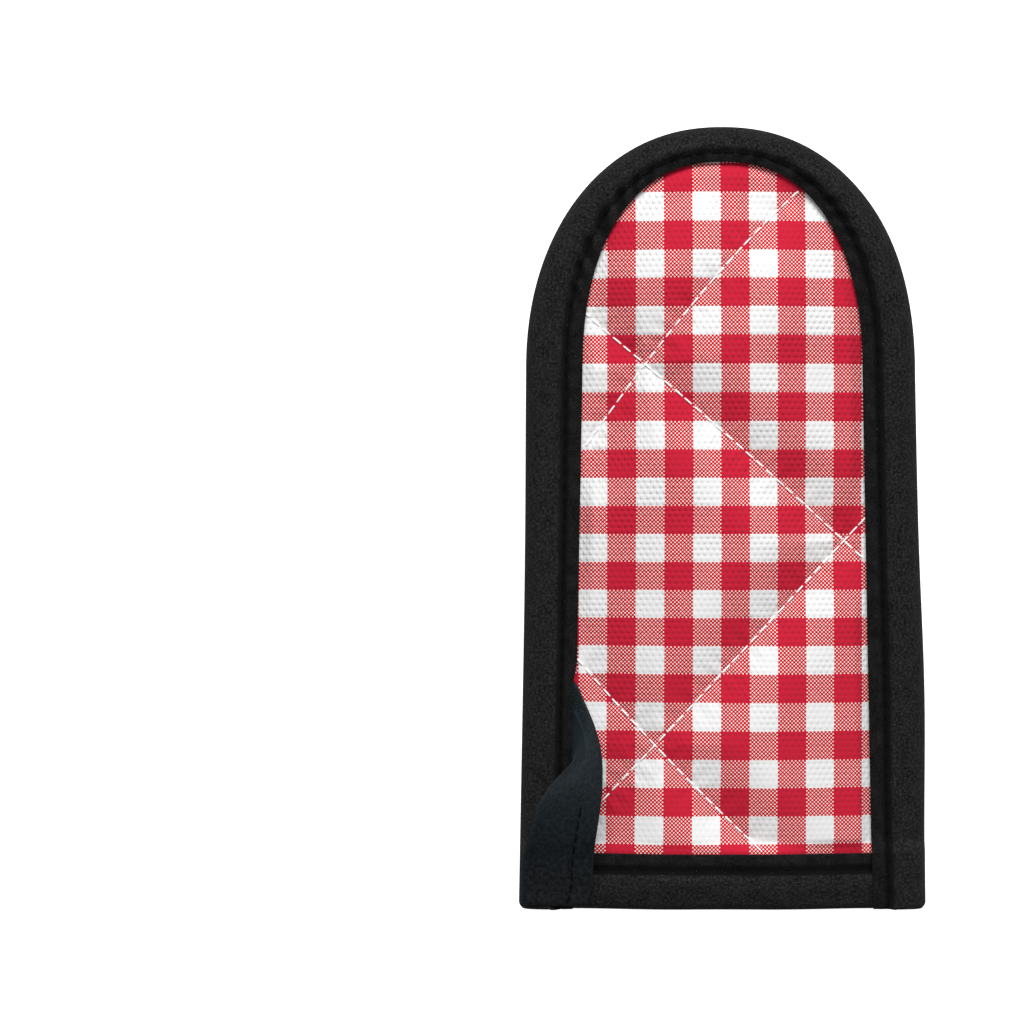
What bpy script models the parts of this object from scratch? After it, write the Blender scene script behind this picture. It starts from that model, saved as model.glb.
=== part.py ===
"""Skillet handle cover: two quilted cloth panels bound together along their sides and round top.

It lies on its back, with the mouth towards -Y and the round top towards +Y. The origin is on the
surface that it lies on, under the middle of its outline. All lengths are in metres.
"""

from math import cos, hypot, pi, sin

import bmesh
import bpy

COLLECTION = "skillet_handle_cover"

# Outline of the whole cover
LENGTH = 0.160
FOOT_Y = 0.0292  # where the straight sides end and the round top begins
HALF_WIDTH = 0.0396  # at the foot of the round top
SIDE_SPREAD = 0.0185  # how much each side moves out for each metre further down
TOP_ROUNDNESS = 2.18  # 2 would be an ellipse, and more has fuller shoulders

# Inner edge of the side binding, which frames what shows of the panel
SEEN_HALF_WIDTH = 0.0286
SEEN_TOP = 0.0726
SEEN_ROUNDNESS = 2.3

# Quilted panels
PANEL_THICK = 0.0026  # where the binding presses it
PUFF_THICK = 0.0032  # between two quilting lines
HEMMED_THICK = 0.0012  # where a hem presses it
PANEL_INSET = 0.0031  # from the outline to a panel's own edge
PUFF_RISE = 0.0010  # how far the batting stands up beside a quilting line
QUILTING_REACH = 0.0065  # how far a quilting line draws the cloth down beside it
PUFF_FADE = 0.0050  # how far from a bound edge the full puff begins
CROWN = 0.0055  # how far the front stands off the back at the middle
CROWN_REACH = 0.0220  # how far inside the binding the full crown is reached
DROP_REACH = 0.0100  # how far inside the binding the back panel meets the surface

# Tapes
BINDING_THICK = 0.0011
BINDING_FOLD = 0.0030  # how far in from the outline the fold bends
BINDING_BULGE = 0.0003  # how far the tape stands above its seam
SEAM_IN = 0.0032  # from the binding's inner edge to its seam, at the sides
SEAM_IN_SHARE = 0.17  # how much of a narrower band's width the seam gives up
SEAM_HALF_WIDTH = 0.0016
SIDE_BAND = HALF_WIDTH - SEEN_HALF_WIDTH
HEM_THICK = 0.0010
HEM_FRONT_LEG = 0.0106  # from the fold to the inner edge of the hem's outer leg
HEM_INNER_LEG = 0.0080
HEM_HALF_LENGTH = 0.0383
HEM_SEAM_IN = 0.0032
HEM_SEAM_DIP = 0.0002
MOUTH_GAP = 0.0003  # from the hems' folds to the line of the mouth
GAP = 0.0003  # between two pieces

# Where the cloth steps up over the hems, from the mouth upwards
STEP_LOW = -0.0684
STEP_HIGH = -0.0656

# The layers' heights, from the surface upwards
HEM_STACK = 2 * HEM_THICK + 2 * GAP + HEMMED_THICK
BACK_BOTTOM = BINDING_THICK + GAP
FRONT_TOP = BACK_BOTTOM + 2 * PANEL_THICK + GAP
BINDING_TOP = FRONT_TOP + GAP + BINDING_THICK
HEM_LIFT = HEM_THICK + GAP
FRONT_HEM_BOTTOM = BACK_BOTTOM + HEM_STACK + GAP
FRONT_STEP = FRONT_HEM_BOTTOM + HEM_STACK - HEM_LIFT - FRONT_TOP
BINDING_STEP = FRONT_STEP + HEM_LIFT

# Quilting lines on the front panel, as their start, middle and end
QUILTING = (
    # x, y of the start, of the middle, of the end
    ((-0.0289, 0.0424), (0.0005, 0.0170), (0.0298, -0.0093)),
    ((0.0158, 0.0669), (-0.0052, 0.0447), (-0.0294, 0.0125)),
    ((0.0296, 0.0003), (0.0010, -0.0304), (-0.0301, -0.0639)),
    ((-0.0300, -0.0286), (-0.0100, -0.0505), (0.0091, -0.0691)),
)
QUILTING_STEPS = 8  # straight pieces along a quilting line

# Hanging loop, from the bottom corner to its end at the binding's inner edge
LOOP_THICK = 0.0011
LOOP_SECTIONS = (
    # left x, y, z, right x, y, z, rise of the middle
    (-0.0411, -0.0794, 0.0123, -0.0275, -0.0794, 0.0116, 0.0008),
    (-0.0411, -0.0743, 0.0124, -0.0269, -0.0753, 0.0117, 0.0008),
    (-0.0406, -0.0691, 0.0142, -0.0264, -0.0691, 0.0137, 0.0006),
    (-0.0402, -0.0650, 0.0166, -0.0257, -0.0640, 0.0162, 0.0005),
    (-0.0393, -0.0616, 0.0182, -0.0249, -0.0595, 0.0171, 0.0007),
    (-0.0375, -0.0575, 0.0188, -0.0246, -0.0548, 0.0166, 0.0010),
    (-0.0350, -0.0544, 0.0180, -0.0248, -0.0501, 0.0150, 0.0014),
    (-0.0324, -0.0522, 0.0150, -0.0256, -0.0452, 0.0130, 0.0018),
    (-0.0300, -0.0510, 0.0116, -0.0270, -0.0398, 0.0108, 0.0016),
    (-0.0286, -0.0498, 0.0088, -0.0286, -0.0356, 0.0088, 0.0003),
)

# Rows and columns of each piece of cloth
PANEL_COLUMNS = 18
PANEL_SIDE_ROWS = 26
PANEL_TOP_ROWS = 14
BINDING_COLUMNS = 15
BINDING_SIDE_ROWS = 14
BINDING_TOP_ROWS = 20
HEMMED_ROWS = 3  # how many of the side rows lie over the hems
HEM_COLUMNS = 10
HEM_ROWS = 24
LOOP_COLUMNS = 6
LOOP_ROWS = 20
TOP_TURN = 0.97  # share of the quarter turn in a panel's grid, so that its last row has a width

# Shares of a folded tape's columns, from its outer leg's inner edge
FOLD_START = 0.4
FOLD_END = 0.8

# Colours as linear red, green and blue, with a roughness
GINGHAM_RED = ((0.55, 0.03, 0.05), 0.85)
TWILL_BLACK = ((0.011, 0.011, 0.012), 0.95)
LOOP_BLACK = ((0.012, 0.016, 0.020), 0.90)


def smooth(share):
    """From 0 to 1, level at both ends."""
    share = min(max(share, 0.0), 1.0)
    return share * share * (3 - 2 * share)


def between(share, stops):
    """The value at a share of the way, from stops of (share, value)."""
    for (low, start), (high, end) in zip(stops, stops[1:]):
        if share <= high:
            return start + (end - start) * (share - low) / (high - low)
    return stops[-1][1]


# Outline

def side_y(share, bottom, rows):
    """Y along a straight side, with a row on each end of the step over the hems."""
    step = ((HEMMED_ROWS / rows, STEP_LOW), ((HEMMED_ROWS + 1) / rows, STEP_HIGH))
    return between(share, ((0, bottom), *step, (1, FOOT_Y)))


def round_point(angle, half_width, rise, roundness):
    """A point of the round top, at an angle from its right foot."""
    x = half_width * abs(cos(angle)) ** (2 / roundness)
    y = FOOT_Y + rise * sin(angle) ** (2 / roundness)
    return (x if cos(angle) >= 0 else -x), y


def inside_binding(x, y):
    """How far a point lies inside the binding's inner edge, less than 0 under the binding."""
    if y <= FOOT_Y:
        return SEEN_HALF_WIDTH + SIDE_SPREAD * (FOOT_Y - y) - abs(x)
    across, up = abs(x) / SEEN_HALF_WIDTH, (y - FOOT_Y) / (SEEN_TOP - FOOT_Y)
    reach = (across**SEEN_ROUNDNESS + up**SEEN_ROUNDNESS) ** (1 / SEEN_ROUNDNESS)
    return hypot(x, y - FOOT_Y) * (1 / reach - 1) if reach > 0 else SEEN_HALF_WIDTH


def hem_step(y):
    """1 where the hems lie, 0 above them."""
    return smooth((STEP_HIGH - y) / (STEP_HIGH - STEP_LOW))


def crown(x, y):
    return CROWN * smooth(inside_binding(x, y) / CROWN_REACH)


def drop(x, y):
    """1 under the binding, 0 where the back panel lies on the surface."""
    return 1 - smooth(inside_binding(x, y) / DROP_REACH)


# Quilting

def quilting_path(start, middle, end):
    """Points along the curve that runs through the three given ones."""
    points = []
    for step in range(QUILTING_STEPS + 1):
        t = step / QUILTING_STEPS
        shares = ((2 * t - 1) * (t - 1), 4 * t * (1 - t), t * (2 * t - 1))
        points.append(tuple(
            sum(share * point[axis] for share, point in zip(shares, (start, middle, end)))
            for axis in (0, 1)
        ))
    return points


QUILTING_PATHS = [quilting_path(*line) for line in QUILTING]


def distance_to_piece(x, y, start, end):
    along_x, along_y = end[0] - start[0], end[1] - start[1]
    share = ((x - start[0]) * along_x + (y - start[1]) * along_y) / (along_x**2 + along_y**2)
    share = min(max(share, 0.0), 1.0)
    return hypot(x - start[0] - share * along_x, y - start[1] - share * along_y)


def puff(x, y):
    """0 along a quilting line and at the bound edges, 1 where the batting fills the cloth."""
    nearest = min(
        distance_to_piece(x, y, start, end)
        for path in QUILTING_PATHS
        for start, end in zip(path, path[1:])
    )
    framed = smooth(inside_binding(x, y) / PUFF_FADE) * smooth((y - STEP_LOW) / PUFF_FADE)
    return framed * smooth(nearest / QUILTING_REACH)


# Making a piece of cloth

def material(name, colour, roughness):
    cloth = bpy.data.materials.new(name)
    cloth.use_nodes = True
    shader = cloth.node_tree.nodes["Principled BSDF"]
    shader.inputs["Base Color"].default_value = (*colour, 1)
    shader.inputs["Roughness"].default_value = roughness
    shader.inputs["Metallic"].default_value = 0
    return cloth


def cloth_piece(name, columns, rows, place, thickness, cloth, thin=None):
    """A grid whose points a rule puts in place, thickened inwards from its outer face.

    place(across, along) gives a point for two shares from 0 to 1. thin, where given, is the least
    thickness and a rule for the share of the full thickness above it.
    """
    mesh = bpy.data.meshes.new(name)
    sheet = bmesh.new()
    bmesh.ops.create_grid(sheet, x_segments=columns, y_segments=rows, size=0.5)
    shares = {point: (point.co.x + 0.5, point.co.y + 0.5) for point in sheet.verts}
    for point, (across, along) in shares.items():
        point.co = place(across, along)
    sheet.to_mesh(mesh)
    sheet.free()
    mesh.shade_smooth()
    piece = bpy.data.objects.new(name, mesh)
    bpy.data.collections[COLLECTION].objects.link(piece)
    mesh.materials.append(cloth)
    shell = piece.modifiers.new("thickness", "SOLIDIFY")
    shell.thickness = thickness
    shell.offset = -1
    shell.use_even_offset = True
    shell.use_quality_normals = True
    if thin:
        least, share_at = thin
        group = piece.vertex_groups.new(name="thickness")
        for point in mesh.vertices:
            group.add([point.index], share_at(point.co.x, point.co.y), "REPLACE")
        shell.vertex_group = group.name
        shell.thickness_vertex_group = least / thickness


# Panels

def panel_point(across, along):
    """X and Y of a panel's grid, which narrows into the round top."""
    half_width = HALF_WIDTH - PANEL_INSET
    foot = PANEL_SIDE_ROWS / (PANEL_SIDE_ROWS + PANEL_TOP_ROWS)
    if along <= foot:
        bottom = -LENGTH / 2 + MOUTH_GAP + HEM_STACK / 2 + GAP
        y = side_y(along / foot, bottom, PANEL_SIDE_ROWS)
        return across * (half_width + SIDE_SPREAD * (FOOT_Y - y)), y
    angle = (along - foot) / (1 - foot) * TOP_TURN * pi / 2
    edge, y = round_point(angle, half_width, LENGTH / 2 - PANEL_INSET - FOOT_Y, TOP_ROUNDNESS)
    return across * edge, y


def panel_thickness(x, y):
    """The share of the full thickness above the least one."""
    thick = PANEL_THICK + (PUFF_THICK - PANEL_THICK) * puff(x, y)
    thick += (HEMMED_THICK - PANEL_THICK) * hem_step(y)
    return (thick - HEMMED_THICK) / (PUFF_THICK - HEMMED_THICK)


def back_panel_thickness(x, y):
    return panel_thickness(-x, y)


def front_panel_point(across, along):
    x, y = panel_point(2 * across - 1, along)
    return x, y, FRONT_TOP + FRONT_STEP * hem_step(y) + crown(x, y) + PUFF_RISE * puff(x, y)


def back_panel_point(across, along):
    """The back is the same cloth turned over, its puffs pressed flat by the surface."""
    x, y = panel_point(1 - 2 * across, along)
    edge = drop(x, y)
    lines = (1 - edge) * (1 - hem_step(y)) * (1 - puff(-x, y)) * PUFF_RISE
    return x, y, BACK_BOTTOM * edge + HEM_LIFT * hem_step(y) + lines


def add_panels(cloth):
    rows = PANEL_SIDE_ROWS + PANEL_TOP_ROWS
    for name, place, thickness in (
        ("front_panel", front_panel_point, panel_thickness),
        ("back_panel", back_panel_point, back_panel_thickness),
    ):
        thin = (HEMMED_THICK, thickness)
        cloth_piece(name, PANEL_COLUMNS, rows, place, PUFF_THICK, cloth, thin)


# Side binding

def fold_angle(across):
    """How far round a tape's fold a share of its columns lies, as an angle up to half a turn."""
    return (across - FOLD_START) / (FOLD_END - FOLD_START) * pi


def binding_edges(along):
    """The outline's point and the inner edge's point, from the bottom right over the top."""
    rows = 2 * BINDING_SIDE_ROWS + BINDING_TOP_ROWS
    foot = BINDING_SIDE_ROWS / rows
    side = min(along, 1 - along)
    if side <= foot:
        y = side_y(side / foot, -LENGTH / 2, BINDING_SIDE_ROWS)
        spread = SIDE_SPREAD * (FOOT_Y - y)
        sign = 1 if along < 0.5 else -1
        return (sign * (HALF_WIDTH + spread), y), (sign * (SEEN_HALF_WIDTH + spread), y)
    angle = (along - foot) / (1 - 2 * foot) * pi
    outer = round_point(angle, HALF_WIDTH, LENGTH / 2 - FOOT_Y, TOP_ROUNDNESS)
    inner = round_point(angle, SEEN_HALF_WIDTH, SEEN_TOP - FOOT_Y, SEEN_ROUNDNESS)
    return outer, inner


def tape_section(across, width, top, bulge, seam):
    """Reach from the inner edge and height, over the front leg, the fold and the back leg."""
    leg, middle = width - BINDING_FOLD, (top + bulge) / 2
    if across <= FOLD_START:
        reach = across / FOLD_START * leg
        dip = smooth(1 - abs(reach - seam) / SEAM_HALF_WIDTH)
        return reach, top + bulge * (1 - dip)
    if across <= FOLD_END:
        angle = pi / 2 - fold_angle(across)
        return leg + BINDING_FOLD * cos(angle), middle + middle * sin(angle)
    return leg * (1 - across) / (1 - FOLD_END), 0.0


def binding_point(across, along):
    (outer_x, outer_y), (inner_x, inner_y) = binding_edges(along)
    width = hypot(outer_x - inner_x, outer_y - inner_y)
    top = BINDING_TOP + BINDING_STEP * hem_step(outer_y)
    seam = SEAM_IN - SEAM_IN_SHARE * (SIDE_BAND - width)
    reach, height = tape_section(across, width, top, BINDING_BULGE, seam)
    share = reach / width
    x = inner_x + (outer_x - inner_x) * share
    y = inner_y + (outer_y - inner_y) * share
    return x, y, height


def add_binding(cloth):
    rows = 2 * BINDING_SIDE_ROWS + BINDING_TOP_ROWS
    cloth_piece("side_binding", BINDING_COLUMNS, rows, binding_point, BINDING_THICK, cloth)


# Hems

def hem_section(across, seam_dip):
    """Y and depth behind the outer face, from the outer leg's inner edge round the fold."""
    fold_y, radius = -LENGTH / 2 + MOUTH_GAP + HEM_STACK / 2, HEM_STACK / 2
    outer_leg, inner_leg = HEM_FRONT_LEG - radius, HEM_INNER_LEG - radius
    if across <= FOLD_START:
        reach = across / FOLD_START * outer_leg
        dip = seam_dip * smooth(1 - abs(reach - HEM_SEAM_IN) / SEAM_HALF_WIDTH)
        return fold_y + outer_leg - reach, dip
    if across <= FOLD_END:
        angle = fold_angle(across)
        return fold_y - radius * sin(angle), radius - radius * cos(angle)
    return fold_y + inner_leg * (across - FOLD_END) / (1 - FOLD_END), HEM_STACK


def front_hem_point(across, along):
    x = HEM_HALF_LENGTH * (2 * along - 1)
    y, depth = hem_section(across, HEM_SEAM_DIP)
    return x, y, FRONT_HEM_BOTTOM + HEM_STACK + crown(x, y) - depth


def back_hem_point(across, along):
    """The back hem's outer leg is pressed flat by the surface, its seam with it."""
    x = HEM_HALF_LENGTH * (1 - 2 * along)
    y, depth = hem_section(across, 0)
    return x, y, BACK_BOTTOM * drop(x, y) + depth


def add_hems(cloth):
    cloth_piece("front_hem", HEM_COLUMNS, HEM_ROWS, front_hem_point, HEM_THICK, cloth)
    cloth_piece("back_hem", HEM_COLUMNS, HEM_ROWS, back_hem_point, HEM_THICK, cloth)


# Hanging loop

def curve_through(points, share):
    """A point on the smooth curve through all of the points."""
    place = share * (len(points) - 1)
    start = min(int(place), len(points) - 2)
    t = place - start
    around = [points[min(max(start + offset, 0), len(points) - 1)] for offset in (-1, 0, 1, 2)]
    return [
        b + 0.5 * t * (c - a + t * (2 * a - 5 * b + 4 * c - d + t * (3 * (b - c) + d - a)))
        for a, b, c, d in zip(*around)
    ]


def loop_point(across, along):
    left_x, left_y, left_z, right_x, right_y, right_z, rise = curve_through(LOOP_SECTIONS, along)
    x = left_x + (right_x - left_x) * across
    y = left_y + (right_y - left_y) * across
    return x, y, left_z + (right_z - left_z) * across + rise * 4 * across * (1 - across)


def add_loop(cloth):
    cloth_piece("hanging_loop", LOOP_COLUMNS, LOOP_ROWS, loop_point, LOOP_THICK, cloth)


def main():
    for old in list(bpy.data.objects):
        bpy.data.objects.remove(old)
    collection = bpy.data.collections.new(COLLECTION)
    bpy.context.scene.collection.children.link(collection)
    black_twill = material("black cotton twill tape", *TWILL_BLACK)
    add_panels(material("quilted gingham cotton", *GINGHAM_RED))
    add_binding(black_twill)
    add_hems(black_twill)
    add_loop(material("blue black twill tape", *LOOP_BLACK))


main()
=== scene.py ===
"""Looks of the skillet handle cover: quilted gingham cotton, brushed black twill tape and a twill loop.

Every piece is a sheet of cloth that lies where its solid lies, with the mouth towards -Y. Sizes here are
in millimetres and turn to metres as a mesh is made. Each point also keeps its place on the flat cloth,
which its print, its weave and its nap are drawn from, and the painted shade and highlight of the tapes'
seams, puckers, crease and edges.
"""

from math import pi

import bmesh
import bpy
import numpy as np
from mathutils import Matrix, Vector


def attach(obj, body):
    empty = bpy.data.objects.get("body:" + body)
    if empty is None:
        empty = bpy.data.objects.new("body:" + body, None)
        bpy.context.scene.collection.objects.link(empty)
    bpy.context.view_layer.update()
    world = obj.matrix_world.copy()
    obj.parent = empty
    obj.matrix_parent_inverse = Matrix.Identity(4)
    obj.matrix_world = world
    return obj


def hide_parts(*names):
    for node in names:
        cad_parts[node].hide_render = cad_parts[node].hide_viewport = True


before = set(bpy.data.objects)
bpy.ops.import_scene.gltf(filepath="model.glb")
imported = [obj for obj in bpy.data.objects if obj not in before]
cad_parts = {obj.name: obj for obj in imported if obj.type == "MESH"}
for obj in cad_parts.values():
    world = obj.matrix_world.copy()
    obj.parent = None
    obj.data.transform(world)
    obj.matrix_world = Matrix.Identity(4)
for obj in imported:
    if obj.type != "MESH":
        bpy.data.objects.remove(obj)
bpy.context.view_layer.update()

MM = 0.001

# Outline of the cover, as its solids have it
LENGTH = 160.0
FOOT_Y = 29.2  # where the straight sides end and the round top begins
HALF_WIDTH = 39.6
SIDE_SPREAD = 0.0185  # how much a side moves out for each millimetre further down
TOP_ROUNDNESS = 2.18
SEEN_HALF_WIDTH = 28.6
SEEN_TOP = 72.6
SEEN_ROUNDNESS = 2.3

# Quilted panels
PANEL_THICK = 2.6
PUFF_THICK = 3.2
HEMMED_THICK = 1.2
STITCHED_THINNER = 1.0  # how much of the batting the quilting presses away along its lines
STITCHED_REACH = 3.5
PANEL_INSET = 3.1
PUFF_RISE = 2.7  # from a quilting line to the top of a puff
PUFF_DIP = 0.8  # how much of it lies below the solids' face, along the lines
PUFF_REACH = 13.0  # how far from the nearest line a puff is at its full height
LINE_ROUNDING = 0.8
PUFF_FADE = 3.0
QUILTING_GROOVE = 0.22
PUCKER_LENGTH = 3.7  # from one small fold beside a quilting line to the next
PUCKER_RISE = 0.09
PUFF_UNEVEN = 0.12
BACK_LIFT = 0.8  # how far the back's face stands off the surface where it is neither puffed nor stitched
BACK_LIFT_MOST = 1.3  # and along its quilting lines
CROWN = 5.5  # how far the front stands off the back at the middle
CROWN_REACH = 23.0
DROP_REACH = 10.0
STEP_LOW = -68.4  # below this the panels are as thin as in their hems
STEP_HIGH = -65.6  # and above this they are free of the hems

# Tapes
BINDING_THICK = 1.1
TAPE_THICK = 0.8  # of the tapes themselves, which are thinner than their solids
BINDING_FOLD = 3.0
BINDING_AROUND = 12.0  # flat length of the tape round the binding's fold
BINDING_BULGE = 0.3
BINDING_END_Y = -79.85
SHOULDER_OUT, LOWER_RIGHT_OUT, UPPER_RIGHT_OUT = 0.6, 0.7, 0.3  # how far the outline stands out there
CORNER_IN, CORNER_HEIGHT = 0.7, 0.9  # how the outline is rounded at the mouth
SIDE_BAND = HALF_WIDTH - SEEN_HALF_WIDTH
SEAM_IN = 3.2  # from a tape's inner edge to its seam, where the band is as wide as at the sides
SEAM_IN_SHARE = 0.36  # how much nearer to that edge it runs for each millimetre that the band is narrower
SEAM_DEPTH = 0.85
BACK_SEAM_DEPTH = 0.25
NEEDLE_DIP = 0.10
BELLY_RISE = 0.65  # how far a tape's outer leg swells between its seam and its fold
LIP_DROP = 0.75  # how far it turns down from its seam to its inner edge
BINDING_PUCKER_LENGTH = 5.2
BINDING_PUCKER_RISE = 0.42
TAPE_PITCH = 2.9  # from one stitch of the tapes' seams to the next
TAPE_DASH = 2.2
HEM_THICK = 1.0
HEM_FRONT_LEG = 11.2
HEM_INNER_LEG = 8.0
HEM_HALF_LENGTH = 38.3
HEM_SAG, HEM_END_SAG = 0.05, 0.12  # how much lower the fold lies at the middle, and more at the sides
MOUTH_GAP = 0.3
GAP = 0.3

# Flat sizes, in metres: width and length of each sheet as it was cut
PANEL_FLAT, PANEL_FLAT_AREA = (0.077, 0.1544), 0.0112
BINDING_FLAT = (0.028, 0.345)
HEM_FLAT = (0.0208, 0.0766)
LOOP_FLAT = (0.015, 0.045)

# Heights of the layers, from the surface upwards
HEM_STACK = 2 * HEM_THICK + 2 * GAP + HEMMED_THICK
BACK_BOTTOM = BINDING_THICK + GAP
FRONT_TOP = BACK_BOTTOM + 2 * PANEL_THICK + GAP
BINDING_TOP = FRONT_TOP + GAP + BINDING_THICK
HEM_LIFT = HEM_THICK + GAP
FRONT_HEM_BOTTOM = BACK_BOTTOM + HEM_STACK + GAP
FRONT_STEP = FRONT_HEM_BOTTOM + HEM_STACK - HEM_LIFT - FRONT_TOP
BINDING_STEP = FRONT_STEP + HEM_LIFT

# Quilting lines of the front: x and y of the start, the middle and the end of each
QUILTING = (
    ((-28.9, 42.4), (0.5, 17.0), (29.8, -9.3)),
    ((15.8, 66.9), (-5.2, 44.7), (-29.4, 12.5)),
    ((29.6, 0.3), (1.0, -30.4), (-30.1, -63.9)),
    ((-30.0, -28.6), (-10.0, -50.5), (9.1, -69.1)),
)
QUILTING_STEPS = 24
QUILTING_PITCH = 2.75  # from one stitch to the next
QUILTING_DASH = 2.1  # how much of it shows as thread

# How far the middle of a thread stands off the cloth, less than 0 where it lies in the cloth
FRONT_QUILTING_STAND, BACK_QUILTING_STAND = 0.2, -0.05
FRONT_SEAM_STAND, BACK_SEAM_STAND = 0.03, -0.04
LOOP_STITCH_STAND = 0.02
THREAD_RADIUS, BACK_THREAD_RADIUS = 0.17, 0.15
THREAD_END = 0.45  # share of its radius at a stitch's ends

# Print: squares of a gingham, whose mixed squares are a fine check
SQUARE = 5.77
CHECKS_PER_SQUARE = 15
INK_SPREAD = 0.3  # above 0, so that the red of the fine check runs a little into its white
COLUMN_START = -0.44  # left edge of a red column
ROW_START = -3.0  # lower edge of a red row
PRINT_UNEVEN = 0.07

# Raised dots of the cloth, in staggered rows, which are too many for the mesh and are left to the finish
DOT_ACROSS = 1.28
DOT_ROW = 1.15
DOT_RISE = 0.12
DOT_ROW_SHARE = 0.15  # how high the ridge along each row of dots is, as a share of a dot
YARN_SHARE = 0.15  # and the yarns between the dots

# Hanging loop
LOOP_THICK = 1.0
LOOP_WIDTH = 15.0
LOOP_LINES = 0.44  # from one diagonal line of its weave to the next
LOOP_PITCH = 2.6
LOOP_DASH = 1.9
LOOP_CREASE = 0.70  # share of the width, from the left, where the edge stitching runs
LOOP_FOLD = 0.62  # and where the loop creases as it turns under the binding
LOOP_LIFT_FROM, LOOP_LIFT_TO = -47.5, -33.0  # where the loop's end lifts the binding's inner edge
LOOP_END_LIFT = 1.25
LOOP_END_PUSH = 0.9
LOOP_RIDGE = 0.5  # height of the crease near its upper end
LOOP_GROOVE = 0.32  # depth of the sewn groove low down
LOOP_ROLL = 0.30  # how far its edges turn down
LOOP_UNEVEN = 0.16
LOOP_SECTIONS = (
    # left x, y, z, right x, y, z, rise of the middle
    (-40.9, -78.9, 10.9, -28.0, -79.3, 10.4, 0.3),
    (-41.0, -78.5, 12.0, -27.8, -78.8, 11.4, 0.5),
    (-41.0, -74.8, 12.4, -26.7, -75.2, 11.8, 0.7),
    (-40.7, -69.6, 14.0, -26.4, -69.4, 13.6, 0.6),
    (-39.9, -65.8, 16.4, -25.9, -64.7, 16.1, 0.5),
    (-38.9, -61.9, 18.1, -25.2, -59.9, 17.2, 0.7),
    (-37.5, -57.7, 18.8, -24.7, -55.3, 17.0, 1.0),
    (-35.2, -54.3, 18.0, -24.6, -50.8, 15.6, 1.4),
    (-33.0, -51.9, 15.4, -25.0, -46.6, 13.6, 1.8),
    (-31.3, -50.4, 12.0, -26.2, -42.3, 11.6, 1.7),
    (-30.7, -49.8, 9.3, -28.0, -38.0, 9.4, 0.9),
    (-31.1, -49.5, 8.2, -29.9, -33.9, 8.1, 0.2),
    (-32.0, -49.3, 8.0, -31.3, -33.6, 7.9, 0.0),
)

# Light and floor, in metres and watts
KEY_LIGHT_PLACE = (0.10, 1.20, 1.05)
KEY_LIGHT_SIZE, KEY_LIGHT_POWER = 1.0, 30.0
ROOM_LIGHT = 0.38
FLOOR_REACH = 3.0
FLOOR_Z = -0.00005  # clear of the cover's lowest points

# Camera, over the middle of the photograph's frame
FRAME_WIDTH = 209.8
FRAME_X, FRAME_Y = -43.0, 1.1
OUTLINE_HEIGHT = 4.3  # where the frame's width is measured
LENS, SENSOR = 200.0, 36.0


def smooth(share):
    """From 0 to 1, level at both ends."""
    share = np.clip(share, 0.0, 1.0)
    return share * share * (3 - 2 * share)


def hill(distance, reach):
    """1 at no distance, and soon 0 past the reach."""
    return np.exp(-((distance / reach) ** 2))


def swell(x, y, size, seed):
    """An uneven rise and fall from about -1 to 1, with hills about size across."""
    waves = np.random.default_rng(seed).uniform(size=(10, 3))
    total = np.zeros_like(x)
    for turn, lag, stretch in waves:
        run = x * np.cos(2 * pi * turn) + y * np.sin(2 * pi * turn)
        total += np.sin(2 * pi * (run / (size * (1.4 + stretch)) + lag))
    return total / len(waves) * 2


# Outline

def side_spread(y):
    return SIDE_SPREAD * (FOOT_Y - y)


def round_point(angle, half_width, rise, roundness):
    """A point of the round top, at an angle from its right foot."""
    turned = np.cos(angle)
    x = half_width * np.sign(turned) * np.abs(turned) ** (2 / roundness)
    return x, FOOT_Y + rise * np.abs(np.sin(angle)) ** (2 / roundness)


def inside_binding(x, y):
    """How far a point lies inside the binding's inner edge, less than 0 under the binding."""
    sides = SEEN_HALF_WIDTH + side_spread(y) - np.abs(x)
    across, up = np.abs(x) / SEEN_HALF_WIDTH, np.maximum(y - FOOT_Y, 0) / (SEEN_TOP - FOOT_Y)
    reach = (across**SEEN_ROUNDNESS + up**SEEN_ROUNDNESS) ** (1 / SEEN_ROUNDNESS)
    round_top = np.hypot(x, y - FOOT_Y) * (1 / np.maximum(reach, 1e-6) - 1)
    return np.where(y <= FOOT_Y, sides, np.where(reach > 1e-3, round_top, SEEN_HALF_WIDTH))


def hem_step(y):
    """1 where the hems lie, 0 above them."""
    return smooth((STEP_HIGH - y) / (STEP_HIGH - STEP_LOW))


def crown(x, y):
    """How far the front stands off the back."""
    return CROWN * smooth(inside_binding(x, y) / CROWN_REACH)


def drop(x, y):
    """1 under the binding, 0 where the back panel lies on the surface."""
    return 1 - smooth(inside_binding(x, y) / DROP_REACH)


# Quilting

def quilting_path(start, middle, end):
    """Points along the curve that runs through the three given ones."""
    t = np.linspace(0, 1, QUILTING_STEPS + 1)[:, None]
    start, middle, end = (np.array(point) for point in (start, middle, end))
    return (2 * t - 1) * (t - 1) * start + 4 * t * (1 - t) * middle + t * (2 * t - 1) * end


QUILTING_PATHS = [quilting_path(*line) for line in QUILTING]


def nearest_quilting(x, y):
    """How far the nearest quilting line is, and how far along that line the nearest place lies."""
    nearest, along = np.full(x.shape, np.inf), np.zeros(x.shape)
    for path in QUILTING_PATHS:
        passed = 0.0
        for start, end in zip(path, path[1:]):
            step = end - start
            length = np.hypot(*step)
            share = ((x - start[0]) * step[0] + (y - start[1]) * step[1]) / length**2
            share = np.clip(share, 0, 1)
            distance = np.hypot(x - start[0] - share * step[0], y - start[1] - share * step[1])
            closer = distance < nearest
            nearest = np.where(closer, distance, nearest)
            along = np.where(closer, passed + share * length, along)
            passed += length
    return nearest, along


def framed(x, y, fade):
    """0 at the bound edges and the hem, 1 further in than the fade."""
    return smooth(inside_binding(x, y) / fade) * smooth((y - STEP_LOW) / fade)


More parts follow.
